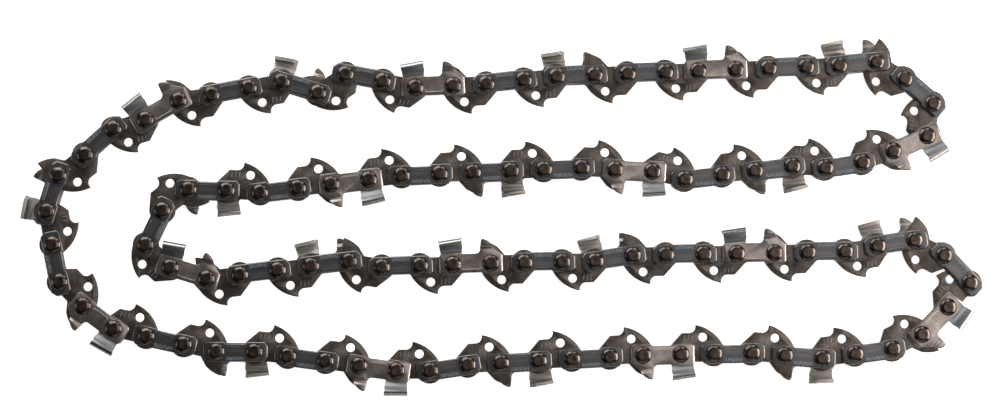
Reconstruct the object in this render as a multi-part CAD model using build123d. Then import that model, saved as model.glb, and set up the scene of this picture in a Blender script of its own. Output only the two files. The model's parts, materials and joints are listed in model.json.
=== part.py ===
"""Saw chain loop: drive links, cutters and tie straps on rivets, lying on its side in four folded runs.

Every link is made once, in a frame with its rear rivet at the origin, X forward along the chain,
Y outward to the cutting side and Z across the chain. The links are then laid along the loop.
"""

import math
import os

from build123d import *

# Chain sizes
drive_pitch = 8.71
side_pitch = 9.93
drive_link_count = 52

# Drive link
drive_thickness = 1.3
hump_radius = 3.4
saddle_height = 2.1
heel_angle = 45.0
toe_angle = 47.0
tang_depth = 7.6
tang_tip_x = 4.6
tang_belly = 1.0
tang_scoop = 0.55
tang_shoulder_depth = 5.5
tang_shoulder_length = 2.2
tang_shoulder_set_back = 0.5
tang_hole_radius = 1.15
tang_hole_x = 2.75
tang_hole_depth = 4.35
fin_height = 5.9
fin_tip_x = -2.35
fin_root_angle = 135.0
fin_bulge = 0.3
fin_shoulder_height = 4.25
fin_shoulder_x = 1.9
fin_front_length = 1.8

# Side plates: what the tie strap and the flat of the cutter share
plate_thickness = 1.1
bottom_chamfer = 0.9
waist_start = 2.0
waist_slope = 0.6

# Tie strap
plate_overhang = 3.5
plate_top = 2.65
plate_bottom = 2.6
plate_chamfer = 1.25
waist_bottom = 2.1
edge_bevel = 0.22
channel_length = 5.2
channel_width = 2.4
channel_offset = 0.12
channel_depth = 0.12

# Cutter plate
heel_overhang = 3.8
heel_shoulder_height = 1.8
toe_overhang = 3.3
toe_shoulder_height = 1.9
cutter_bottom = 2.75
cutter_waist_bottom = 2.3
end_bevel = 0.4
gullet_height = 2.65
gullet_radius = 1.2

# Cutter tab and top plate
crease_rear_height = 2.72
crease_front_height = 3.1
tab_heel_x = -3.75
tab_front_x = 2.9
tab_root_rear_x = -3.1
tab_root_front_x = 2.4
tab_front_height = 6.95
tab_heel_height = 6.1
top_plate_thickness = 0.95
top_plate_past_centre = 0.4
top_plate_angle = 22.0
corner_radius = 1.2
cutter_reach = 3.3
heel_narrowing = 0.3
file_radius = 2.0
file_drop = 1.2

# Depth gauge
gauge_rear = 2.73
gauge_tip = 2.4
gauge_front = 0.82
gauge_height = 6.5
gauge_tip_radius = 0.5
gauge_bulge = 0.6
gauge_crease_height = 4.05
gauge_flare = 0.55

# Rivet
hub_radius = 1.95
shank_radius = 1.6
head_radius = 2.3
head_height = 0.85
head_wall = 0.3
head_flat_radius = 1.55

# Clearances
running_clearance = 0.05
side_clearance = 0.05
shank_clearance = 0.02

# Layers, measured from the middle of the chain
plate_inner = drive_thickness / 2 + side_clearance
plate_outer = plate_inner + plate_thickness
head_outer = plate_outer + head_height

# Where the loop turns, going round from the left bend: top run, upper bend, second run, inner bend,
# third run, lower bend, bottom run and back up the left bend
route = [
    (-118, -1.5), (-115, 8), (-108, 13.5), (-101, 20), (-92.5, 22.5), (-84, 27.5),
    (-75.5, 29), (-57, 32.5), (-47.5, 29.5), (-40.5, 34.5), (-22, 31), (-3.5, 32),
    (15, 34), (89.5, 37), (99, 38), (106.5, 33.5), (114, 27), (112.5, 18.5),
    (103.5, 14.5), (95.5, 11.5), (85.5, 10), (77, 10.5), (48.5, 7), (40, 9),
    (21.5, 10), (-25.5, 8), (-62.5, 3.5), (-71, 4), (-81, 4.5), (-88, -1),
    (-92.5, -10), (-86, -16), (-76.5, -19), (-39.5, -14.5), (-31, -16), (-2.5, -15),
    (25, -14.5), (34.5, -13), (90.5, -12), (99, -10.5), (109, -9), (116.5, -13),
    (123.5, -20), (117.5, -26.5), (111, -33.5), (103, -37.5), (84.5, -40), (66, -38.5),
    (37.5, -39), (-8.5, -41.5), (-18, -43), (-27, -43), (-63.5, -38), (-73.5, -38),
    (-100.5, -32), (-108.5, -26), (-114.5, -20), (-116.5, -10),
]

# The route is stretched by a factor between these, halved this often, until the loop closes
least_stretch = 0.2
most_stretch = 5.0
halving_count = 80

# Drive links that the bends swing on, by number round the loop, and the stretch that follows each
swing_links = {
    "top_run_left_link": 6,
    "top_run_right_link": 10,
    "second_run_right_link": 20,
    "second_run_left_link": 22,
    "third_run_left_link": 27,
    "third_run_right_link": 33,
    "bottom_run_right_link": 41,
    "bottom_run_left_link": 43,
}
stretch_names = [
    "top_run",
    "upper_bend",
    "second_run",
    "inner_bend",
    "third_run",
    "lower_bend",
    "bottom_run",
    "left_bend",
]


def walk(stretch):
    """Rivet centres stepped off along the stretched route, and how far round the route they reach."""
    corners = [Vector(x, y) * stretch for x, y in route]
    here = corners[0]
    centres = [here]
    reached = 0.0
    for step in range(2 * drive_link_count):
        pitch = drive_pitch if step % 2 else side_pitch
        number = int(reached)
        share = 2.0
        while share > 1:
            start = corners[number % len(corners)]
            run = corners[(number + 1) % len(corners)] - start
            back = start - here
            along = run.dot(back)
            root = along**2 - run.dot(run) * (back.dot(back) - pitch**2)
            share = (math.sqrt(max(root, 0)) - along) / run.dot(run)
            number += 1
        reached = number - 1 + share
        here = start + run * share
        centres.append(here)
    return centres, reached


def rivet_centres():
    """The rivets of a loop that closes: the route is stretched until the last link ends on the first."""
    low, high = least_stretch, most_stretch
    for _ in range(halving_count):
        middle = (low + high) / 2
        if walk(middle)[1] > len(route):
            low = middle
        else:
            high = middle
    return walk(high)[0][:-1]


def on_hump(centre_x, angle):
    """A point on the round hump about a drive link's rivet."""
    turn = math.radians(angle)
    return (centre_x + hump_radius * math.cos(turn), hump_radius * math.sin(turn))


def hump_arc(centre_x, start_angle, end_angle):
    """The stretch of a hump between two angles."""
    middle_angle = (start_angle + end_angle) / 2
    return ThreePointArc(
        on_hump(centre_x, start_angle),
        on_hump(centre_x, middle_angle),
        on_hump(centre_x, end_angle),
    )


def drive_link(with_fin):
    """Stamped drive link: two humps, a saddle between them, and a tang with a hole and a hooked tip."""
    saddle_angle = math.degrees(math.asin(saddle_height / hump_radius))
    heel = on_hump(0, 180 + heel_angle)
    toe = on_hump(drive_pitch, -toe_angle)
    tip = (tang_tip_x, -tang_depth)
    shoulder_front = (drive_pitch - tang_shoulder_set_back, -tang_shoulder_depth)
    shoulder_rear = (shoulder_front[0] - tang_shoulder_length, -tang_shoulder_depth)
    front_saddle = on_hump(drive_pitch, 180 - saddle_angle)
    rear_saddle = on_hump(0, saddle_angle)
    edges = [
        SagittaArc(heel, tip, -tang_belly),
        SagittaArc(tip, shoulder_rear, tang_scoop),
        Polyline(shoulder_rear, shoulder_front, toe),
        hump_arc(drive_pitch, -toe_angle, 180 - saddle_angle),
    ]
    if with_fin:
        fin_shoulder = (fin_shoulder_x, fin_shoulder_height)
        fin_tip = (fin_tip_x, fin_height)
        fin_foot = (fin_shoulder_x + fin_front_length, saddle_height)
        edges += [
            Polyline(front_saddle, fin_foot, fin_shoulder),
            SagittaArc(fin_shoulder, fin_tip, -fin_bulge),
            Line(fin_tip, on_hump(0, fin_root_angle)),
            hump_arc(0, fin_root_angle, 180 + heel_angle),
        ]
    else:
        edges += [
            Line(front_saddle, rear_saddle),
            hump_arc(0, saddle_angle, 180 + heel_angle),
        ]
    outline = make_face(Curve() + edges)
    rivet_holes = Locations((0, 0), (drive_pitch, 0)) * Circle(hub_radius + running_clearance)
    tang_hole = Pos(tang_hole_x, -tang_hole_depth) * Circle(tang_hole_radius)
    return extrude(outline - rivet_holes - tang_hole, drive_thickness / 2, both=True)


def shank_holes():
    """The two rivet holes of a side plate."""
    return Locations((0, 0), (side_pitch, 0)) * Circle(shank_radius + shank_clearance)


def lower_edge(rear, front, bottom, waist):
    """The tang side of a side plate, from its rear end to its front end, with cropped corners and a waist."""
    waist_end = waist_start + waist_slope
    return [
        (rear, bottom_chamfer - bottom),
        (rear + bottom_chamfer, -bottom),
        (waist_start, -bottom),
        (waist_end, -waist),
        (side_pitch - waist_end, -waist),
        (side_pitch - waist_start, -bottom),
        (front - bottom_chamfer, -bottom),
        (front, bottom_chamfer - bottom),
    ]


def tie_strap():
    """Flat side plate with cropped ends, a waist on the tang side and a shallow channel along it."""
    rear, front = -plate_overhang, side_pitch + plate_overhang
    outline = make_face(
        Polyline(
            *lower_edge(rear, front, plate_bottom, waist_bottom),
            (front, plate_top - plate_chamfer),
            (front - plate_chamfer, plate_top),
            (rear + plate_chamfer, plate_top),
            (rear, plate_top - plate_chamfer),
            close=True,
        )
    )
    plate = extrude(outline - shank_holes(), plate_thickness)
    plate = chamfer(plate.faces().sort_by(Axis.Z)[-1].outer_wire().edges(), edge_bevel)
    hollow = Box(channel_length, channel_width, 2 * channel_depth)
    channel = Pos(side_pitch / 2, channel_offset, plate_thickness) * hollow
    return Pos(0, 0, plate_inner) * (plate - channel)


def crease_height(x):
    """How high the crease under the cutter's tab lies at x: it rises towards the front."""
    share = (x - tab_heel_x) / (tab_front_x - tab_heel_x)
    return crease_rear_height + share * (crease_front_height - crease_rear_height)


def cutter_plate():
    """The flat of the cutter, up to the two creases above which it leans outward."""
    gauge_x = side_pitch - gauge_rear
    toe = side_pitch + toe_overhang
    root_front = (tab_root_front_x, crease_height(tab_root_front_x))
    root_rear = (tab_root_rear_x, crease_height(tab_root_rear_x))
    root_radius = root_front[1] - gullet_height
    gullet_front = (gauge_x, gullet_height + gullet_radius)
    gullet_floor_front = (gauge_x - gullet_radius, gullet_height)
    gullet_floor_rear = (tab_root_front_x + root_radius, gullet_height)
    corners = lower_edge(-heel_overhang, toe, cutter_bottom, cutter_waist_bottom)
    outline = make_face(
        Curve()
        + [
            Polyline(
                *corners,
                (toe, toe_shoulder_height),
                (side_pitch + gauge_front, gauge_crease_height),
                (gauge_x, gauge_crease_height),
                gullet_front,
            ),
            RadiusArc(gullet_front, gullet_floor_front, gullet_radius),
            Line(gullet_floor_front, gullet_floor_rear),
            RadiusArc(gullet_floor_rear, root_front, root_radius),
            Polyline(root_front, root_rear, (-heel_overhang, heel_shoulder_height), corners[0]),
        ]
    )
    plate = extrude(outline - shank_holes(), plate_thickness)
    outer_edges = plate.faces().sort_by(Axis.Z)[-1].outer_wire().edges().sort_by(Axis.X)
    plate = chamfer([outer_edges[0], outer_edges[-1]], end_bevel)
    return Pos(0, 0, plate_inner) * plate


def depth_gauge():
    """The hooked stop ahead of the gullet: above its crease it leans out over the edge of the plate."""
    rear = side_pitch - gauge_rear
    front = side_pitch + gauge_front
    tip = (side_pitch - gauge_tip, gauge_height)
    low = gauge_crease_height
    outline = make_face(
        Curve()
        + [
            Polyline((front, low), (rear, low), tip),
            SagittaArc(tip, (front, low), gauge_bulge),
        ]
    )
    outline = fillet(outline.vertices().sort_by(Axis.Y)[-1], gauge_tip_radius)
    leaning_sheet = make_face(
        Polyline(
            (low, plate_inner),
            (low, plate_outer),
            (gauge_height, plate_outer + gauge_flare),
            (gauge_height, plate_inner + gauge_flare),
            close=True,
        )
    )
    section = Plane(origin=(rear, 0, 0), x_dir=(0, 1, 0), z_dir=(1, 0, 0)) * leaning_sheet
    return extrude(section, front - rear, dir=(1, 0, 0)) & extrude(outline, 2 * cutter_reach)


def tab_section(x, top, reach):
    """Section of the cutter's bent tab at x: side wall leaning out, round corner, and top plate."""
    inner_edge = -top_plate_past_centre
    under = top - top_plate_thickness
    bend = top - corner_radius
    crease = crease_height(x)
    outline = make_face(
        Curve()
        + [
            Polyline((crease, plate_inner), (crease, plate_outer), (bend, reach)),
            RadiusArc((bend, reach), (top, reach - corner_radius), corner_radius),
            Polyline(
                (top, reach - corner_radius),
                (top, inner_edge),
                (under, inner_edge),
                (under, reach - corner_radius),
                (crease, plate_inner),
            ),
        ]
    )
    return Plane(origin=(x, 0, 0), x_dir=(0, 1, 0), z_dir=(1, 0, 0)) * outline


def file_cut():
    """What the round file takes off the tab: a slanting groove under the cutting edge of the top plate."""
    across = cutter_reach + top_plate_past_centre
    set_back = across * math.tan(math.radians(top_plate_angle))
    outer = Vector(tab_front_x, tab_front_height, cutter_reach)
    inner = Vector(tab_front_x - set_back, tab_front_height, -top_plate_past_centre)
    ahead = Vector(tab_front_x, tab_front_height, -top_plate_past_centre)
    waste = extrude(make_face(Polyline(outer, inner, ahead, close=True)), file_drop, dir=(0, -1, 0))
    edge = inner - outer
    forward = Vector(0, 1, 0).cross(edge).normalized() * -math.sqrt(file_radius**2 - file_drop**2)
    centre = (outer + inner) / 2 + forward - Vector(0, file_drop, 0)
    return waste + Plane(origin=centre, z_dir=edge) * Cylinder(file_radius, 2 * edge.length)


def cutter_tab():
    """Bent tab with its top plate: it falls and narrows towards the heel, and its front is filed."""
    rear = tab_section(tab_heel_x, tab_heel_height, cutter_reach - heel_narrowing)
    front = tab_section(tab_front_x, tab_front_height, cutter_reach)
    blank = loft([rear, front], ruled=True)
    side_outline = make_face(
        Polyline(
            (tab_root_rear_x, crease_height(tab_root_rear_x)),
            (tab_root_front_x, crease_height(tab_root_front_x)),
            (tab_front_x, tab_front_height),
            (tab_heel_x, tab_front_height),
            (tab_heel_x, tab_heel_height),
            close=True,
        )
    )
    return (blank & extrude(side_outline, 2 * cutter_reach, both=True)) - file_cut()


def cutter():
    """Right-hand cutter: flat plate, tab with top plate and depth gauge, bent from one blank."""
    return cutter_plate() + cutter_tab() + depth_gauge()


def rivet():
    """Stepped rivet: hub between the side plates, shank through them, a bevelled flat head each end."""
    half = [
        (0, 0),
        (hub_radius, 0),
        (hub_radius, plate_inner),
        (shank_radius, plate_inner),
        (shank_radius, plate_outer),
        (head_radius, plate_outer),
        (head_radius, plate_outer + head_wall),
        (head_flat_radius, head_outer),
        (0, head_outer),
    ]
    profile = make_face(Plane.XZ * Polyline(*half, close=True))
    upper = revolve(profile, Axis.Z)
    return upper + mirror(upper, Plane.XY)


def lay(shape, start, end):
    """A link moved on to the loop, from the rivet at its rear to the rivet at its front."""
    along = end - start
    heading = math.degrees(math.atan2(along.Y, along.X))
    return Pos(start.X, start.Y, cutter_reach) * Rot(0, 0, heading) * shape


plain_link = drive_link(with_fin=False)
bumper_link = drive_link(with_fin=True)
near_strap = tie_strap()
far_strap = mirror(near_strap, Plane.XY)
right_cutter = cutter()
left_cutter = mirror(right_cutter, Plane.XY)
one_rivet = rivet()

centres = rivet_centres()


def rivet_at(number):
    """The centre of a rivet, by number round the loop."""
    return centres[number % len(centres)]


def laid_rivet(number):
    """A rivet in its place."""
    centre = rivet_at(number)
    return Pos(centre.X, centre.Y, cutter_reach) * one_rivet


def laid_drive_link(number):
    """A drive link in its place: those that follow a cutter have the fin."""
    shape = plain_link if number % 2 else bumper_link
    return lay(shape, rivet_at(2 * number + 1), rivet_at(2 * number + 2))


def side_link_pieces(number):
    """The kinds and shapes of one side link: strap pairs alternate with right and left cutters."""
    if number % 4 == 2:
        return [("right_cutters", right_cutter), ("tie_straps", far_strap)]
    if number % 4 == 0:
        return [("left_cutters", left_cutter), ("tie_straps", near_strap)]
    return [("tie_straps", near_strap), ("tie_straps", far_strap)]


# Every piece in its place, gathered by node
nodes = {name: [laid_drive_link(number)] for name, number in swing_links.items()}


def put(stretch_name, kind, piece):
    """Adds a piece to the node of its kind in its stretch of the loop."""
    nodes.setdefault(f"{stretch_name}_{kind}", []).append(piece)


swing_numbers = list(swing_links.values())
for place, stretch_name in enumerate(stretch_names):
    first = swing_numbers[place] + 1
    last = swing_numbers[(place + 1) % len(swing_numbers)]
    if last < first:
        last += drive_link_count
    for number in range(first, last + 1):
        for kind, shape in side_link_pieces(number % drive_link_count):
            put(stretch_name, kind, lay(shape, rivet_at(2 * number), rivet_at(2 * number + 1)))
        put(stretch_name, "rivets", laid_rivet(2 * number))
        put(stretch_name, "rivets", laid_rivet(2 * number + 1))
        if number < last:
            kind = "plain_links" if number % 2 else "bumper_links"
            put(stretch_name, kind, laid_drive_link(number % drive_link_count))

# The origin is under the middle of the loop, on the surface that it lies on
bounds = Compound([solid for pieces in nodes.values() for solid in pieces]).bounding_box()
to_origin = Pos(-bounds.center().X, -bounds.center().Y, -bounds.min.Z)

os.makedirs("parts", exist_ok=True)
for name, pieces in nodes.items():
    solids = [solid for piece in pieces for solid in (to_origin * piece).solids()]
    export_step(Compound(solids), f"parts/{name}.step")
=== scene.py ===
import json
import math
import random

import bmesh
import bpy
from mathutils import Matrix, Vector

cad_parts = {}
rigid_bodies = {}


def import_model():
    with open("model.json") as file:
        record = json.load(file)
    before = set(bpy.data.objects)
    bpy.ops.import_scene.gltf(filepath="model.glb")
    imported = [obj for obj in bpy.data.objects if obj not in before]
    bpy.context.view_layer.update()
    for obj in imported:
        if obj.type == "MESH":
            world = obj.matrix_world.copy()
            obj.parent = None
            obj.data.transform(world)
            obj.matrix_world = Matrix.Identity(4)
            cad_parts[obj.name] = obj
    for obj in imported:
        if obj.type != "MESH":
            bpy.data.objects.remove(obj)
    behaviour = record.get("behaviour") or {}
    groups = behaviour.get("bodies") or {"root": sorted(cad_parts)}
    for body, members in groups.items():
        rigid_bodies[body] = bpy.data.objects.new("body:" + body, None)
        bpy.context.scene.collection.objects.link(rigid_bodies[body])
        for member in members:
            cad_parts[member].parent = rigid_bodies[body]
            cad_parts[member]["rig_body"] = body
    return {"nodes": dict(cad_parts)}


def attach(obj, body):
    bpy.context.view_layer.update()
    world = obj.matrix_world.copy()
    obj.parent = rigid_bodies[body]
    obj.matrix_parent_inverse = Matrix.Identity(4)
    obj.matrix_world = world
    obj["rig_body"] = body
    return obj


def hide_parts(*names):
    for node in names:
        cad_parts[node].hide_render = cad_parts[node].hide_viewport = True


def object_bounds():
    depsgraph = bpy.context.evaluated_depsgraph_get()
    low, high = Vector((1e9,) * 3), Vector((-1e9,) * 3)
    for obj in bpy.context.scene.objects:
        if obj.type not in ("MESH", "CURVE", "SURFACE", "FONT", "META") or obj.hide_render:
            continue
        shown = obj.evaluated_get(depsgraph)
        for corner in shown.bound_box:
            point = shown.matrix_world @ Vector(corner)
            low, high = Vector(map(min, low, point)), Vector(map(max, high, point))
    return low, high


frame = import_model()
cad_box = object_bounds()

# Rivets: stepped pins of tempered steel, with a thick hub in the drive link and a thinner shank in the
# plates. Both ends are spun down to a low round head, which leaves a flat browned middle with turning marks
# and a smooth shoulder. They come first because every link is laid between two of them.
mm = 0.001
chain_middle = (cad_box[0].z + cad_box[1].z) / 2
weld_distance = 0.001 * mm
sharp_corner = math.radians(38)
shift_reach = 90
draw = random.Random(52)


def solids_of(node_name):
    """The node's mesh, welded along its edges, and its separate solids as lists of vertices."""
    welded = bmesh.new()
    welded.from_mesh(frame["nodes"][node_name].data)
    bmesh.ops.remove_doubles(welded, verts=welded.verts, dist=weld_distance)
    welded.faces.index_update()
    solids, reached = [], set()
    for start in welded.verts:
        if start in reached:
            continue
        reached.add(start)
        solid = [start]
        for vert in solid:
            for edge in vert.link_edges:
                other = edge.other_vert(vert)
                if other not in reached:
                    reached.add(other)
                    solid.append(other)
        solids.append(solid)
    return welded, solids


def linear(hex_code):
    """An sRGB hex colour as the linear RGBA that sockets take."""
    channels = [int(hex_code[place:place + 2], 16) / 255 for place in (1, 3, 5)]
    return [c / 12.92 if c <= 0.04045 else ((c + 0.055) / 1.055) ** 2.4 for c in channels] + [1.0]


def add_node(tree, kind, inputs=None, **settings):
    """Adds a node with its settings. An input given as a socket is linked, any other value is set."""
    node = tree.nodes.new(kind)
    for name, value in settings.items():
        setattr(node, name, value)
    for socket, value in (inputs or {}).items():
        if isinstance(value, bpy.types.NodeSocket):
            tree.links.new(value, node.inputs[socket])
        else:
            node.inputs[socket].default_value = value
    return node


def start_finish(name):
    """A finish with what its patterns need: the place on the link in mm, and the link's own shift."""
    finish = bpy.data.materials.new(name)
    finish.use_nodes = True
    tree = finish.node_tree
    place = add_node(tree, "ShaderNodeAttribute", attribute_name="link_place").outputs["Vector"]
    shift = add_node(tree, "ShaderNodeAttribute", attribute_name="link_shift").outputs["Fac"]
    return finish, tree, tree.nodes["Principled BSDF"], place, shift


def dress(node_name, laid, finishes):
    """Joins links, each a ready shape laid with a matrix, into the piece that stands for a CAD node."""
    points, faces, finish_numbers, smooth, places, shifts = [], [], [], [], [], []
    for shape, lay in laid:
        first = len(points)
        shift = draw.uniform(0, shift_reach)
        points.extend(lay @ vert.co for vert in shape.verts)
        places.extend(vert.co for vert in shape.verts)
        shifts.extend([shift] * len(shape.verts))
        for face in shape.faces:
            faces.append([first + vert.index for vert in face.verts])
            finish_numbers.append(face.material_index)
            smooth.append(face.smooth)
    mesh = bpy.data.meshes.new("finished_" + node_name)
    mesh.from_pydata(points, [], faces)
    mesh.polygons.foreach_set("material_index", finish_numbers)
    mesh.polygons.foreach_set("use_smooth", smooth)
    kept_places = mesh.attributes.new("link_place", "FLOAT_VECTOR", "POINT")
    kept_places.data.foreach_set("vector", [value for place in places for value in place])
    kept_shifts = mesh.attributes.new("link_shift", "FLOAT", "POINT")
    kept_shifts.data.foreach_set("value", shifts)
    mesh.set_sharp_from_angle(angle=sharp_corner)
    for finish in finishes:
        mesh.materials.append(finish)
    piece = bpy.data.objects.new("finished_" + node_name, mesh)
    bpy.context.scene.collection.objects.link(piece)
    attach(piece, frame["nodes"][node_name]["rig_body"])
    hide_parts(node_name)


rivet_sides = 40
head_radius = 2.3
shank_radius = 1.6
hub_radius = 1.95
flat_radius = 1.3
plate_inner = 0.7
plate_outer = 1.8
head_top = 2.65
head_wall_top = 2.06
head_gap = 0.005
# radius and height of the upper half, from the middle of the flat outwards and down to the hub
rivet_profile = [
    (0.35, head_top - 0.03),
    (0.8, head_top - 0.02),
    (1.1, head_top),
    (flat_radius, head_top - 0.02),
    (1.5, head_top - 0.08),
    (1.72, head_top - 0.19),
    (1.92, head_top - 0.32),
    (2.08, head_top - 0.45),
    (2.2, head_wall_top),
    (head_radius - 0.03, head_wall_top - 0.1),
    (head_radius, head_wall_top - 0.2),
    (head_radius, plate_outer + head_gap),
    (shank_radius, plate_outer + head_gap),
    (shank_radius, plate_inner),
    (hub_radius, plate_inner),
]
lower_profile = [(radius, -height) for radius, height in reversed(rivet_profile)]
turns = [2 * math.pi * side / rivet_sides for side in range(rivet_sides)]
# the places of the finishes in a rivet's list
flat_finish, shoulder_finish = 0, 1
rivet = bmesh.new()
rings = []
for radius, height in rivet_profile + lower_profile:
    circle = [(radius * math.cos(turn), radius * math.sin(turn), height) for turn in turns]
    rings.append([rivet.verts.new(point) for point in circle])
for upper, lower in zip(rings, rings[1:]):
    for side in range(rivet_sides):
        after = (side + 1) % rivet_sides
        rivet.faces.new([upper[side], lower[side], lower[after], upper[after]])
rivet.faces.new(rings[0])
rivet.faces.new(list(reversed(rings[-1])))
for face in rivet.faces:
    on_flat = face.calc_center_median().xy.length < flat_radius
    face.material_index = flat_finish if on_flat else shoulder_finish
    face.smooth = True
rivet.normal_update()
rivet.verts.index_update()

# Browned steel of the spun flats: the heat of spinning leaves a brown oxide in blotches of about 1 mm, with
# turning rings 0.35 mm apart, drawn wider than the real 0.1 mm ones so that they show.
blotches_per_mm = 0.9
ring_spacing = 0.35
rivet_flat, tree, steel, place, shift = start_finish("browned_spun_steel")
blotch = add_node(tree, "ShaderNodeTexNoise",
                  {"Vector": place, "W": shift, "Scale": blotches_per_mm, "Detail": 3.0},
                  noise_dimensions="4D").outputs["Fac"]
flat_place = add_node(tree, "ShaderNodeVectorMath", {0: place, 1: (1.0, 1.0, 0.0)},
                      operation="MULTIPLY").outputs[0]
from_axis = add_node(tree, "ShaderNodeVectorMath", {0: flat_place}, operation="LENGTH").outputs["Value"]
ring_turn = add_node(tree, "ShaderNodeMath", {0: from_axis, 1: 2 * math.pi / ring_spacing},
                     operation="MULTIPLY").outputs[0]
ring = add_node(tree, "ShaderNodeMath", {0: ring_turn}, operation="SINE").outputs[0]
browned = add_node(tree, "ShaderNodeMapRange",
                   {"Value": blotch, "From Min": 0.35, "From Max": 0.68}).outputs[0]
tint = add_node(tree, "ShaderNodeMix", {0: browned, 6: linear("#39322d"), 7: linear("#67574d")},
                data_type="RGBA")
tree.links.new(tint.outputs[2], steel.inputs["Base Color"])
gloss = add_node(tree, "ShaderNodeMapRange", {"Value": blotch, "To Min": 0.22, "To Max": 0.4}).outputs[0]
tree.links.new(gloss, steel.inputs["Roughness"])
steel.inputs["Metallic"].default_value = 0.9
ridges = add_node(tree, "ShaderNodeBump", {"Height": ring, "Strength": 0.35, "Distance": 0.02 * mm})
tree.links.new(ridges.outputs[0], steel.inputs["Normal"])

# Tempered steel of the heads' shoulders: the forming tool burnishes them, so they are smoother and carry the
# bright spots of the lamps, under a thin film of oil that clouds them over about 0.8 mm.
oil_clouds_per_mm = 1.2
rivet_shoulder, tree, steel, place, shift = start_finish("burnished_rivet_steel")
cloud = add_node(tree, "ShaderNodeTexNoise",
                 {"Vector": place, "W": shift, "Scale": oil_clouds_per_mm, "Detail": 3.0},
                 noise_dimensions="4D").outputs["Fac"]
worn = add_node(tree, "ShaderNodeMapRange", {"Value": cloud, "From Min": 0.3, "From Max": 0.7}).outputs[0]
tint = add_node(tree, "ShaderNodeMix", {0: worn, 6: linear("#494240"), 7: linear("#787069")},
                data_type="RGBA")
tree.links.new(tint.outputs[2], steel.inputs["Base Color"])
gloss = add_node(tree, "ShaderNodeMapRange", {"Value": cloud, "To Min": 0.14, "To Max": 0.26}).outputs[0]
tree.links.new(gloss, steel.inputs["Roughness"])
steel.inputs["Metallic"].default_value = 1.0

rivet_centres = []
for node_name in sorted(name for name in frame["nodes"] if name.endswith("_rivets")):
    welded, solids = solids_of(node_name)
    laid = []
    for solid in solids:
        across = [vert.co.x for vert in solid]
        along = [vert.co.y for vert in solid]
        centre = Vector(((min(across) + max(across)) / 2, (min(along) + max(along)) / 2, chain_middle))
        rivet_centres.append(centre)
        turned = Matrix.Rotation(draw.uniform(0, 2 * math.pi), 4, "Z")
        laid.append((rivet, Matrix.Translation(centre) @ turned @ Matrix.Scale(mm, 4)))
    welded.free()
    dress(node_name, laid, [rivet_flat, rivet_shoulder])

# Drive links: stamped from 1.3 mm strip, with two rivet humps, a hooked tang and a round hole; every second
# one also has a bumper fin, and the plain ones a few stamped strokes. Hardened and left dark brown-black,
# they turn on the rivets' hubs.
drive_pitch = 8.71
drive_face = 0.65
bumper_height = 4.5
rivet_clear = 2.25
drive_edge_width = 0.09
stroke_starts = [(5.5, -5.0), (6.5, -5.05), (7.5, -4.85)]
stroke_way = Vector((0.2, 1.4))
stroke_width = 0.27
stroke_rise = 0.03
flat_angle = math.radians(0.6)
flat_normal = 0.9995
worn_angle = math.radians(25)
bar_root = 0.05
bar_crown = 0.5
# the places of the finishes in a link's list, after that of its faces
edge_finish, mark_finish = 1, 2


def own_frame(rear, front):
    """From the scene to a link's own frame in mm: its rear rivet at the origin, its front rivet on +X."""
    heading = math.atan2(front.y - rear.y, front.x - rear.x)
    return Matrix.Scale(1 / mm, 4) @ Matrix.Rotation(-heading, 4, "Z") @ Matrix.Translation(-rear)


def carried_by(solid):
    """The middle of a link and its two rivets: those that lie nearest to the middle."""
    middle = sum((vert.co for vert in solid), Vector()) / len(solid)
    nearest = sorted(rivet_centres, key=lambda centre: (centre.xy - middle.xy).length)
    return middle, nearest[0], nearest[1]


def own_shape(solid, to_own):
    """A copy of one solid in its own frame, with the flat faces whole again instead of in triangles."""
    shape = bmesh.new()
    twins = {vert: shape.verts.new(to_own @ vert.co) for vert in solid}
    around = {face for vert in solid for face in vert.link_faces}
    for face in sorted(around, key=lambda face: face.index):
        shape.faces.new([twins[vert] for vert in face.verts])
    bmesh.ops.recalc_face_normals(shape, faces=shape.faces)
    bmesh.ops.dissolve_limit(shape, angle_limit=flat_angle, verts=shape.verts, edges=shape.edges)
    return shape


def wear_edges(shape, pitch, width, finish_number, where=lambda middle: True):
    """Rounds the sharp outer edges, as tumbling and use do, and gives the rounding a finish of its own."""
    worn = []
    for edge in shape.edges:
        middle = (edge.verts[0].co + edge.verts[1].co) / 2
        clear = all((middle.xy - Vector((place, 0))).length > rivet_clear for place in (0, pitch))
        sharp = edge.is_manifold and edge.is_convex and edge.calc_face_angle() > worn_angle
        if sharp and clear and where(middle):
            worn.append(edge)
    bmesh.ops.bevel(shape, geom=worn, offset=width, segments=2, profile=0.5, affect="EDGES",
                    clamp_overlap=False, material=finish_number)


def raise_bar(shape, start, end, width, base, rise, finish_number):
    """A low bar with sloped sides on a plate's face, from one point to another; base is the face's height."""
    along = (end - start).normalized()
    aside = Vector((-along.y, along.x)) * width / 2
    foot = base - math.copysign(bar_root, base)
    top = base + math.copysign(rise, base)
    rings = []
    for height, share in ((foot, 1.0), (top, bar_crown)):
        inset = along * width * (1 - share) / 2
        ring = [start + inset - aside * share, end - inset - aside * share,
                end - inset + aside * share, start + inset + aside * share]
        rings.append([shape.verts.new((point.x, point.y, height)) for point in ring])
    made = [shape.faces.new(rings[1]), shape.faces.new(list(reversed(rings[0])))]
    for side in range(4):
        after = (side + 1) % 4
        made.append(shape.faces.new([rings[0][side], rings[0][after], rings[1][after], rings[1][side]]))
    bmesh.ops.recalc_face_normals(shape, faces=made)
    for face in made:
        face.material_index = finish_number


def settle(shape):
    """Makes a shape ready to be laid: curved faces smooth, flat ones flat."""
    shape.normal_update()
    for face in shape.faces:
        face.smooth = abs(face.normal.z) < flat_normal
    shape.verts.index_update()
    return shape


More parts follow.
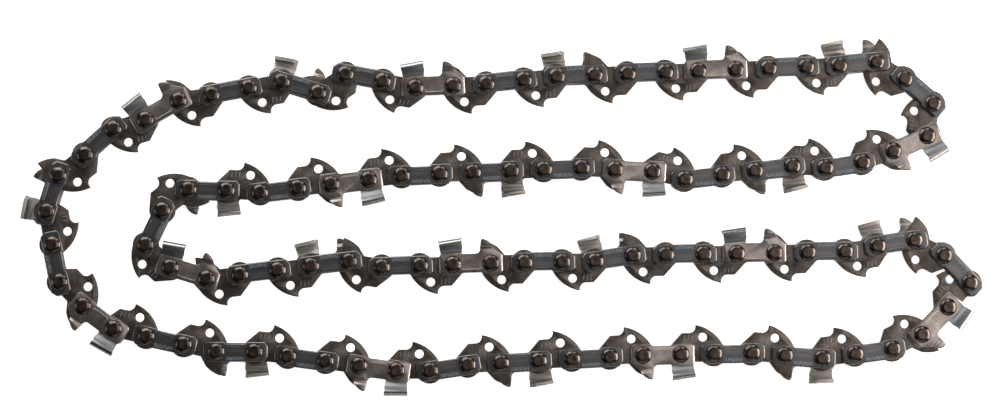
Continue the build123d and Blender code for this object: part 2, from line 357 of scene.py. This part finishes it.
# Dark oxide on stamped steel: brown-black with a dull sheen, clouded over about 1.5 mm, with a fine pitted
# grain that is drawn at 0.25 mm, coarser than the real one, so that it shows.
oxide_clouds_per_mm = 0.65
oxide_pits_per_mm = 4.0
drive_oxide, tree, steel, place, shift = start_finish("dark_oxide_strip_steel")
cloud = add_node(tree, "ShaderNodeTexNoise",
                 {"Vector": place, "W": shift, "Scale": oxide_clouds_per_mm, "Detail": 4.0},
                 noise_dimensions="4D").outputs["Fac"]
grain = add_node(tree, "ShaderNodeTexNoise",
                 {"Vector": place, "W": shift, "Scale": oxide_pits_per_mm, "Detail": 2.0},
                 noise_dimensions="4D").outputs["Fac"]
mixed = add_node(tree, "ShaderNodeMath", {0: cloud, 1: grain}, operation="MULTIPLY").outputs[0]
clouded = add_node(tree, "ShaderNodeMapRange",
                   {"Value": mixed, "From Min": 0.14, "From Max": 0.38}).outputs[0]
tint = add_node(tree, "ShaderNodeMix", {0: clouded, 6: linear("#564d47"), 7: linear("#81776f")},
                data_type="RGBA")
tree.links.new(tint.outputs[2], steel.inputs["Base Color"])
gloss = add_node(tree, "ShaderNodeMapRange", {"Value": cloud, "To Min": 0.32, "To Max": 0.44}).outputs[0]
tree.links.new(gloss, steel.inputs["Roughness"])
steel.inputs["Metallic"].default_value = 0.85
pits = add_node(tree, "ShaderNodeBump", {"Height": grain, "Strength": 0.3, "Distance": 0.03 * mm})
tree.links.new(pits.outputs[0], steel.inputs["Normal"])

# Bare edges of the dark links: the oxide is rubbed through along the stamped edges, so the steel shows as a
# thin line that breaks off over about 1 mm.
breaks_per_mm = 1.0
drive_edge, tree, steel, place, shift = start_finish("rubbed_oxide_edge")
breaks = add_node(tree, "ShaderNodeTexNoise",
                  {"Vector": place, "W": shift, "Scale": breaks_per_mm, "Detail": 2.0},
                  noise_dimensions="4D").outputs["Fac"]
bare = add_node(tree, "ShaderNodeMapRange", {"Value": breaks, "From Min": 0.4, "From Max": 0.65}).outputs[0]
tint = add_node(tree, "ShaderNodeMix", {0: bare, 6: linear("#5d544c"), 7: linear("#978e86")},
                data_type="RGBA")
tree.links.new(tint.outputs[2], steel.inputs["Base Color"])
steel.inputs["Roughness"].default_value = 0.36
steel.inputs["Metallic"].default_value = 0.95

# Struck marks on links and straps: the stamp leaves pale, rough metal, with the film left in flecks of a
# third of a mm. The same pale finish on the thin hooked line under the straps' channel is a painted
# highlight.
flecks_per_mm = 3.0
marks_and_highlight_lines, tree, steel, place, shift = start_finish("struck_marks_and_painted_highlight_lines")
fleck = add_node(tree, "ShaderNodeTexNoise",
                 {"Vector": place, "W": shift, "Scale": flecks_per_mm, "Detail": 2.0},
                 noise_dimensions="4D").outputs["Fac"]
struck = add_node(tree, "ShaderNodeMapRange",
                  {"Value": fleck, "From Min": 0.35, "From Max": 0.65}).outputs[0]
tint = add_node(tree, "ShaderNodeMix", {0: struck, 6: linear("#6c737b"), 7: linear("#a7aeb4")},
                data_type="RGBA")
tree.links.new(tint.outputs[2], steel.inputs["Base Color"])
steel.inputs["Roughness"].default_value = 0.6
steel.inputs["Metallic"].default_value = 0.15

drive_shapes = {}
front_rivets = set()
drive_endings = ("_plain_links", "_bumper_links", "_link")
for node_name in sorted(name for name in frame["nodes"] if name.endswith(drive_endings)):
    welded, solids = solids_of(node_name)
    laid = []
    for solid in solids:
        middle, rear, front = carried_by(solid)
        # the tang lies to the right of the way the chain runs
        if (own_frame(rear, front) @ middle).y > 0:
            rear, front = front, rear
        to_own = own_frame(rear, front)
        front_rivets.add(tuple(front))
        kind = "bumper" if max((to_own @ vert.co).y for vert in solid) > bumper_height else "plain"
        if kind not in drive_shapes:
            shape = own_shape(solid, to_own)
            wear_edges(shape, drive_pitch, drive_edge_width, edge_finish)
            strokes = stroke_starts if kind == "plain" else []
            for start in strokes:
                for face_height in (drive_face, -drive_face):
                    raise_bar(shape, Vector(start), Vector(start) + stroke_way, stroke_width, face_height,
                              stroke_rise, mark_finish)
            drive_shapes[kind] = settle(shape)
        laid.append((drive_shapes[kind], to_own.inverted()))
    welded.free()
    dress(node_name, laid, [drive_oxide, drive_edge, marks_and_highlight_lines])

# Tie straps: plain plates riveted on both sides of the drive links to hold them together, stamped from spring
# steel and tempered blue-black. A shallow channel is pressed between the rivets, with a row of plain ticks
# struck along its upper side and a thin line with hooked ends along the lower one, whose pale finish is a
# painted highlight.
side_pitch = 9.93
strap_edge_width = 0.12
strap_end_width = 0.13
end_start = 1.9
face_margin = 0.01
strap_line = [(3.0, -0.95), (3.15, -1.3), (6.75, -1.3), (6.9, -0.95)]
strap_line_width = 0.11
channel_reach = 1.5
tick_count = 11
tick_first, tick_last = 2.8, 7.15
tick_low, tick_high = 1.3, 2.3
tick_width = 0.26
tick_lean = 0.09
tick_rise = 0.04


def at_end(middle):
    """Whether an edge is one of those round the ends of a plate's outer face, which are tumbled most."""
    past_rivet = abs(middle.x - side_pitch / 2) > side_pitch / 2 + end_start
    return past_rivet and abs(middle.z) > plate_outer - face_margin


def side_of(solid):
    """A side plate's own frame, and 1 for the near side or -1 for the far one."""
    middle, rear, front = carried_by(solid)
    if tuple(rear) not in front_rivets:
        rear, front = front, rear
    return own_frame(rear, front), 1 if middle.z > chain_middle else -1


# Blued spring steel: tempering leaves a blue-black film that drifts between blue and straw over about 3 mm,
# and a lighter patch in the channel, on its tang side, is a painted highlight; rolling has drawn the grain
# out into streaks of about 2.6 by 0.35 mm.
rolling_stretch = (0.3, 2.2, 1.0)
streaks_per_mm = 1.3
drifts_per_mm = 0.3
highlight_patch_length, highlight_patch_width = 3.33, 0.8
highlight_patch_middle = (side_pitch / 2, -0.44)
strap_blued, tree, steel, place, shift = start_finish("blued_spring_steel")
rolled = add_node(tree, "ShaderNodeVectorMath", {0: place, 1: rolling_stretch},
                  operation="MULTIPLY").outputs[0]
streak = add_node(tree, "ShaderNodeTexNoise",
                  {"Vector": rolled, "W": shift, "Scale": streaks_per_mm, "Detail": 4.0},
                  noise_dimensions="4D").outputs["Fac"]
drift = add_node(tree, "ShaderNodeTexNoise",
                 {"Vector": place, "W": shift, "Scale": drifts_per_mm, "Detail": 2.0},
                 noise_dimensions="4D").outputs["Fac"]
film = add_node(tree, "ShaderNodeMapRange", {"Value": drift, "From Min": 0.35, "From Max": 0.65}).outputs[0]
tint = add_node(tree, "ShaderNodeMix", {0: film, 6: linear("#5f636a"), 7: linear("#6b6663")},
                data_type="RGBA").outputs[2]
# painted highlight: a lighter oval in the channel between the rivets, towards the tang side
from_highlight_patch = add_node(tree, "ShaderNodeVectorMath",
                      {0: place, 1: (1 / highlight_patch_length, 1 / highlight_patch_width, 0.0),
                       2: (-highlight_patch_middle[0] / highlight_patch_length, -highlight_patch_middle[1] / highlight_patch_width, 0.0)},
                      operation="MULTIPLY_ADD").outputs[0]
out_of_highlight_patch = add_node(tree, "ShaderNodeVectorMath", {0: from_highlight_patch}, operation="LENGTH").outputs["Value"]
painted_channel_highlight = add_node(tree, "ShaderNodeMapRange",
                  {"Value": out_of_highlight_patch, "From Min": 1.0, "From Max": 0.4}).outputs[0]
tint = add_node(tree, "ShaderNodeMix", {0: painted_channel_highlight, 6: tint, 7: linear("#75706d")},
                data_type="RGBA").outputs[2]
light = add_node(tree, "ShaderNodeMapRange", {"Value": streak, "To Min": 0.7, "To Max": 1.3}).outputs[0]
shaded = add_node(tree, "ShaderNodeHueSaturation", {"Color": tint, "Value": light})
tree.links.new(shaded.outputs[0], steel.inputs["Base Color"])
gloss = add_node(tree, "ShaderNodeMapRange", {"Value": streak, "To Min": 0.3, "To Max": 0.48}).outputs[0]
tree.links.new(gloss, steel.inputs["Roughness"])
steel.inputs["Metallic"].default_value = 0.95
fibres = add_node(tree, "ShaderNodeBump", {"Height": streak, "Strength": 0.2, "Distance": 0.02 * mm})
tree.links.new(fibres.outputs[0], steel.inputs["Normal"])

# Tumbled edge of the blued plates: the film is polished off along the rims, which shine as thin bright lines
# with scuffs of about 0.7 mm.
scuffs_per_mm = 1.4
strap_edge, tree, steel, place, shift = start_finish("polished_blued_edge")
scuff = add_node(tree, "ShaderNodeTexNoise",
                 {"Vector": place, "W": shift, "Scale": scuffs_per_mm, "Detail": 3.0},
                 noise_dimensions="4D").outputs["Fac"]
tint = add_node(tree, "ShaderNodeMix", {0: scuff, 6: linear("#625f5d"), 7: linear("#b0a9a3")},
                data_type="RGBA")
tree.links.new(tint.outputs[2], steel.inputs["Base Color"])
gloss = add_node(tree, "ShaderNodeMapRange", {"Value": scuff, "To Min": 0.18, "To Max": 0.32}).outputs[0]
tree.links.new(gloss, steel.inputs["Roughness"])
steel.inputs["Metallic"].default_value = 1.0

strap_shapes = {}
for node_name in sorted(name for name in frame["nodes"] if name.endswith("_tie_straps")):
    welded, solids = solids_of(node_name)
    laid = []
    for solid in solids:
        to_own, side = side_of(solid)
        if side not in strap_shapes:
            face_height = side * plate_outer
            shape = own_shape(solid, to_own)
            wear_edges(shape, side_pitch, strap_end_width, edge_finish, at_end)
            wear_edges(shape, side_pitch, strap_edge_width, edge_finish,
                       lambda middle: abs(middle.y) > channel_reach or not 0 < middle.x < side_pitch)
            for tick in range(tick_count):
                across = tick_first + (tick_last - tick_first) * tick / (tick_count - 1)
                lean = tick_lean if tick % 3 else -tick_lean
                raise_bar(shape, Vector((across - lean, tick_low)), Vector((across + lean, tick_high)),
                          tick_width, face_height, tick_rise, mark_finish)
            # the thin hooked line under the channel, whose pale finish is a painted highlight
            for start, end in zip(strap_line, strap_line[1:]):
                raise_bar(shape, Vector(start), Vector(end), strap_line_width, face_height, tick_rise,
                          mark_finish)
            strap_shapes[side] = settle(shape)
        laid.append((strap_shapes[side], to_own.inverted()))
    welded.free()
    dress(node_name, laid, [strap_blued, strap_edge, marks_and_highlight_lines])

# Cutters: plates with a depth gauge in front and a tab behind that is bent out and over into the top plate.
# Each is riveted on opposite a tie strap, right and left ones by turns. The plate is left satin grey, the tab
# is hard chrome plated and ground.
cutter_edge_width = 0.11
cutter_end_width = 0.2
cutter_end_reach = 2.5
tab_edge_width = 0.04
tab_front = 4.2
crease_start, crease_end = Vector((-3.75, 2.72)), Vector((2.9, 3.1))
crease_slope = (crease_end.y - crease_start.y) / (crease_end.x - crease_start.x)
crease_margin = 0.1
tab_band = 2.1
tab_lift = 0.22
tab_lift_lead = 0.7
tab_cuts = 8
gauge_rear = 6.5
gauge_crease = 4.05
gauge_lean = 0.2245
gauge_band = 1.0
gauge_lift = 0.5
gauge_cuts = 5
cut_margin = 1e-4
turned_out = 0.2
turned_over = 0.1
bar_corners = [(2.55, -0.95), (2.8, -1.4), (7.0, -1.4), (7.25, -0.95)]
bar_width = 0.24
bar_rise = 0.05
# the places of the finishes in a cutter's list, after those of its faces and its edges
chrome_finish, inside_finish, line_finish = 2, 3, 4


def over_crease(point):
    """How far a point lies above the crease at the foot of the tab."""
    return point.y - crease_start.y - crease_slope * (point.x - crease_start.x)


def bend_roots(shape, side):
    """Bends the feet of tab and gauge more sharply than the sheet above them, as the press tool does."""
    cuts = []
    for cut in range(1, tab_cuts + 1):
        height = crease_start.y + tab_band * cut / tab_cuts
        cuts.append(((crease_start.x, height, 0), (-crease_slope, 1, 0)))
    for cut in range(1, gauge_cuts + 1):
        cuts.append(((0, gauge_crease + gauge_band * cut / gauge_cuts, 0), (0, 1, 0)))
    for place, way in cuts:
        whole = list(shape.verts) + list(shape.edges) + list(shape.faces)
        bmesh.ops.bisect_plane(shape, geom=whole, plane_co=place, plane_no=way, dist=cut_margin)
    for vert in shape.verts:
        if vert.co.x > gauge_rear and vert.co.y > gauge_crease:
            height = vert.co.y - gauge_crease
            share = min(1.0, height / gauge_band)
            vert.co.z += side * (gauge_lift * share * share * (3 - 2 * share) - gauge_lean * height)
        elif vert.co.x < tab_front and 0 < over_crease(vert.co) < tab_band and abs(vert.co.z) > plate_inner:
            share = (over_crease(vert.co) / tab_band) ** tab_lift_lead
            vert.co.z += side * tab_lift * math.sin(math.pi * share)


# Satin steel of the cutter plates: heat treated and blasted, warm grey, clouded over 2 mm, with an even grain
# that is drawn at 0.25 mm, coarser than the real one, so that it shows.
blast_pits_per_mm = 4.0
satin_clouds_per_mm = 0.5
cutter_satin, tree, steel, place, shift = start_finish("satin_cutter_steel")
grain = add_node(tree, "ShaderNodeTexNoise",
                 {"Vector": place, "W": shift, "Scale": blast_pits_per_mm, "Detail": 2.0},
                 noise_dimensions="4D").outputs["Fac"]
cloud = add_node(tree, "ShaderNodeTexNoise",
                 {"Vector": place, "W": shift, "Scale": satin_clouds_per_mm, "Detail": 3.0},
                 noise_dimensions="4D").outputs["Fac"]
mixed = add_node(tree, "ShaderNodeMath", {0: cloud, 1: grain}, operation="MULTIPLY").outputs[0]
clouded = add_node(tree, "ShaderNodeMapRange",
                   {"Value": mixed, "From Min": 0.17, "From Max": 0.34}).outputs[0]
tint = add_node(tree, "ShaderNodeMix", {0: clouded, 6: linear("#91867f"), 7: linear("#b1a69f")},
                data_type="RGBA")
tree.links.new(tint.outputs[2], steel.inputs["Base Color"])
gloss = add_node(tree, "ShaderNodeMapRange", {"Value": cloud, "To Min": 0.24, "To Max": 0.34}).outputs[0]
tree.links.new(gloss, steel.inputs["Roughness"])
steel.inputs["Metallic"].default_value = 0.9
blasted = add_node(tree, "ShaderNodeBump", {"Height": grain, "Strength": 0.5, "Distance": 0.03 * mm})
tree.links.new(blasted.outputs[0], steel.inputs["Normal"])

# Hard chrome of the tabs: bright and neutral, ground along the chain, with lines drawn 0.3 mm apart, wider
# than the real ones, so that they show.
grinding_stretch = (0.15, 2.4, 2.4)
ground_lines_per_mm = 1.4
cutter_chrome, tree, steel, place, shift = start_finish("ground_hard_chrome")
ground = add_node(tree, "ShaderNodeVectorMath", {0: place, 1: grinding_stretch},
                  operation="MULTIPLY").outputs[0]
line = add_node(tree, "ShaderNodeTexNoise",
                {"Vector": ground, "W": shift, "Scale": ground_lines_per_mm, "Detail": 3.0},
                noise_dimensions="4D").outputs["Fac"]
tint = add_node(tree, "ShaderNodeMix", {0: line, 6: linear("#828384"), 7: linear("#a4a5a6")},
                data_type="RGBA")
tree.links.new(tint.outputs[2], steel.inputs["Base Color"])
gloss = add_node(tree, "ShaderNodeMapRange", {"Value": line, "To Min": 0.37, "To Max": 0.47}).outputs[0]
tree.links.new(gloss, steel.inputs["Roughness"])
steel.inputs["Metallic"].default_value = 1.0
scratches = add_node(tree, "ShaderNodeBump", {"Height": line, "Strength": 0.15, "Distance": 0.02 * mm})
tree.links.new(scratches.outputs[0], steel.inputs["Normal"])

# Inside of the tabs: lighter than the plates, with straight bands of about 0.5 mm along the bend; the pale
# tone and the bands are a painted reflection of the lamps in this curved face, and the low metallic keeps it
# light in the shade of the top plate.
reflection_band_stretch = (0.05, 1.6, 1.6)
reflection_bands_per_mm = 1.2
tab_inside, tree, steel, place, shift = start_finish("tab_inside_painted_reflection")
band_place = add_node(tree, "ShaderNodeVectorMath", {0: place, 1: reflection_band_stretch},
                 operation="MULTIPLY").outputs[0]
line = add_node(tree, "ShaderNodeTexNoise",
                {"Vector": band_place, "W": shift, "Scale": reflection_bands_per_mm, "Detail": 3.0},
                noise_dimensions="4D").outputs["Fac"]
reflection_banding = add_node(tree, "ShaderNodeMapRange",
                    {"Value": line, "From Min": 0.35, "From Max": 0.65}).outputs[0]
tint = add_node(tree, "ShaderNodeMix", {0: reflection_banding, 6: linear("#877d75"), 7: linear("#e0d9d2")},
                data_type="RGBA")
tree.links.new(tint.outputs[2], steel.inputs["Base Color"])
steel.inputs["Roughness"].default_value = 0.42
steel.inputs["Metallic"].default_value = 0.4

# Raised line on the cutters' waist: a pale, hardly metallic finish that stays light all round, a painted
# highlight that stands in for the bright line along this step, in flecks of about 0.7 mm.
highlight_flecks_per_mm = 1.5
cutter_highlight_line, tree, steel, place, shift = start_finish("painted_highlight_line")
fleck = add_node(tree, "ShaderNodeTexNoise",
                 {"Vector": place, "W": shift, "Scale": highlight_flecks_per_mm, "Detail": 2.0},
                 noise_dimensions="4D").outputs["Fac"]
tint = add_node(tree, "ShaderNodeMix", {0: fleck, 6: linear("#b5a99d"), 7: linear("#f1e9e0")},
                data_type="RGBA")
tree.links.new(tint.outputs[2], steel.inputs["Base Color"])
steel.inputs["Roughness"].default_value = 0.5
steel.inputs["Metallic"].default_value = 0.1

# Bright edges of the cutters: sheared, tumbled and rubbed bare, so they catch the lamps as white lines, with
# the same scuffs as the straps' rims.
cutter_edge, tree, steel, place, shift = start_finish("bare_cutter_edge")
scuff = add_node(tree, "ShaderNodeTexNoise",
                 {"Vector": place, "W": shift, "Scale": scuffs_per_mm, "Detail": 3.0},
                 noise_dimensions="4D").outputs["Fac"]
tint = add_node(tree, "ShaderNodeMix", {0: scuff, 6: linear("#9a928b"), 7: linear("#d9d5cf")},
                data_type="RGBA")
tree.links.new(tint.outputs[2], steel.inputs["Base Color"])
gloss = add_node(tree, "ShaderNodeMapRange", {"Value": scuff, "To Min": 0.18, "To Max": 0.3}).outputs[0]
tree.links.new(gloss, steel.inputs["Roughness"])
steel.inputs["Metallic"].default_value = 1.0

cutter_finishes = [cutter_satin, cutter_edge, cutter_chrome, tab_inside, cutter_highlight_line]
cutter_shapes = {}
for node_name in sorted(name for name in frame["nodes"] if name.endswith("_cutters")):
    welded, solids = solids_of(node_name)
    laid = []
    for solid in solids:
        to_own, side = side_of(solid)
        if side not in cutter_shapes:
            shape = own_shape(solid, to_own)
            bend_roots(shape, side)
            shape.normal_update()
            for face in shape.faces:
                middle = face.calc_center_median()
                if middle.x >= tab_front or over_crease(middle) <= 0:
                    continue
                outward = face.normal.z * side
                if outward < -turned_out:
                    # the inside of the tab, which carries the painted reflection
                    face.material_index = inside_finish
                elif outward > turned_out and face.normal.y > turned_over:
                    face.material_index = edge_finish
                else:
                    face.material_index = chrome_finish
            wear_edges(shape, side_pitch, tab_edge_width, chrome_finish,
                       lambda middle: middle.x < tab_front and over_crease(middle) > crease_margin)
            wear_edges(shape, side_pitch, cutter_end_width, edge_finish,
                       lambda middle: at_end(middle) and abs(middle.y) < cutter_end_reach)
            wear_edges(shape, side_pitch, cutter_edge_width, edge_finish,
                       lambda middle: middle.x >= tab_front or over_crease(middle) < -crease_margin)
            # the raised line along the waist, in the pale finish that paints its highlight
            for start, end in zip(bar_corners, bar_corners[1:]):
                raise_bar(shape, Vector(start), Vector(end), bar_width, side * plate_outer, bar_rise,
                          line_finish)
            cutter_shapes[side] = settle(shape)
        laid.append((cutter_shapes[side], to_own.inverted()))
    welded.free()
    dress(node_name, laid, cutter_finishes)

# Studio: a lit white board under the chain and a pale backdrop, which the camera sees at full strength, in a
# dim room. A soft lamp stands at the photo's upper left, a brighter one at its right with a lit ceiling above
# it, and weak ones fill in from the other sides.
scene = bpy.context.scene
scene.view_settings.view_transform = "Standard"
board_reach = 2.5
board_sides = 96
# clumps of the board's fibre from edge to edge, each about 28 mm wide
board_clumps = 180
board_glow, board_glow_on_steel = 0.92, 0.12
room_left, room_right = 0.1, 0.15
room_below, room_above = 0.35, 1.0

board_white = bpy.data.materials.new("lit_white_board")
board_white.use_nodes = True
tree = board_white.node_tree
board_paint = tree.nodes["Principled BSDF"]
fibre = add_node(tree, "ShaderNodeTexNoise", {"Scale": board_clumps, "Detail": 2.0}).outputs["Fac"]
tint = add_node(tree, "ShaderNodeMix", {0: fibre, 6: linear("#f2f2f1"), 7: linear("#f7f7f6")},
                data_type="RGBA")
tree.links.new(tint.outputs[2], board_paint.inputs["Base Color"])
board_paint.inputs["Roughness"].default_value = 0.9
board_paint.inputs["Emission Color"].default_value = linear("#ffffff")
seen = add_node(tree, "ShaderNodeLightPath").outputs["Is Camera Ray"]
glow = add_node(tree, "ShaderNodeMapRange",
                {"Value": seen, "To Min": board_glow_on_steel, "To Max": board_glow})
tree.links.new(glow.outputs[0], board_paint.inputs["Emission Strength"])
bpy.ops.mesh.primitive_circle_add(vertices=board_sides, radius=board_reach, fill_type="NGON",
                                  location=(0, 0, cad_box[0].z))
board = bpy.context.object
board.name = "board"
board.data.materials.append(board_white)


def lamp(name, stand, width, height, radiance, hex_code):
    """A soft lamp with a rectangular face, turned towards the middle of the chain."""
    light = bpy.data.lights.new(name, "AREA")
    light.shape = "RECTANGLE"
    light.size, light.size_y = width, height
    light.energy = radiance * math.pi * width * height
    light.color = linear(hex_code)[:3]
    stood = bpy.data.objects.new(name, light)
    stood.location = stand
    stood.rotation_euler = (-Vector(stand)).to_track_quat("-Z", "Y").to_euler()
    stood.visible_camera = False
    scene.collection.objects.link(stood)


lamp("upper_left_lamp", (-0.12, 0.24, 0.14), 0.28, 0.2, 2.6, "#fbfdff")
lamp("right_lamp", (0.31, -0.02, 0.11), 0.26, 0.13, 6.2, "#fff6ec")
lamp("upper_right_lamp", (0.14, 0.28, 0.16), 0.14, 0.2, 1.8, "#ffffff")
lamp("left_lamp", (-0.3, -0.03, 0.1), 0.1, 0.1, 1.0, "#ffffff")
lamp("lower_lamp", (0.06, -0.3, 0.12), 0.36, 0.12, 0.6, "#ffffff")
lamp("ceiling_lamp", (0.47, 0.05, 0.62), 0.5, 0.9, 1.15, "#ffffff")

room = bpy.data.worlds.new("room")
room.use_nodes = True
scene.world = room
tree = room.node_tree
way = add_node(tree, "ShaderNodeTexCoord").outputs["Generated"]
heading = add_node(tree, "ShaderNodeSeparateXYZ", {0: way}).outputs
rightward = add_node(tree, "ShaderNodeMapRange",
                     {"Value": heading["X"], "From Min": -0.4, "From Max": 0.4,
                      "To Min": room_left, "To Max": room_right}).outputs[0]
upward = add_node(tree, "ShaderNodeMapRange",
                  {"Value": heading["Y"], "From Min": -0.7, "From Max": 0.3,
                   "To Min": room_below, "To Max": room_above}).outputs[0]
dim = add_node(tree, "ShaderNodeMath", {0: rightward, 1: upward}, operation="MULTIPLY").outputs[0]
seen = add_node(tree, "ShaderNodeLightPath").outputs["Is Camera Ray"]
strength = add_node(tree, "ShaderNodeMix", {0: seen, 2: dim, 3: 1.0}, data_type="FLOAT")
tree.links.new(strength.outputs[0], tree.nodes["Background"].inputs["Strength"])
tree.nodes["Background"].inputs["Color"].default_value = linear("#fbfbfb")

# Camera: nearly straight above the chain, as the photo was taken: it looks down from 2 degrees to the left of
# the middle and 3 degrees below it, from 0.7 m away through a long lens.
sensor_width = 36.0
photo_width = 261.32 * mm
camera_distance = 0.7
photo_middle = Vector((-1.06 * mm, 2.66 * mm, chain_middle + head_top * mm))
camera_back = Vector((-0.0344, -0.0483, 1.0)).normalized()
camera_up = camera_back.cross(Vector((1, 0, 0))).normalized()
camera_right = camera_up.cross(camera_back)
camera = bpy.data.cameras.new("camera")
camera.sensor_width = sensor_width
camera.lens = sensor_width * camera_distance / photo_width
camera_stand = bpy.data.objects.new("camera", camera)
camera_stand.matrix_world = Matrix.Translation(photo_middle + camera_back * camera_distance) @ Matrix(
    (camera_right, camera_up, camera_back)).transposed().to_4x4()
scene.collection.objects.link(camera_stand)
scene.camera = camera_stand
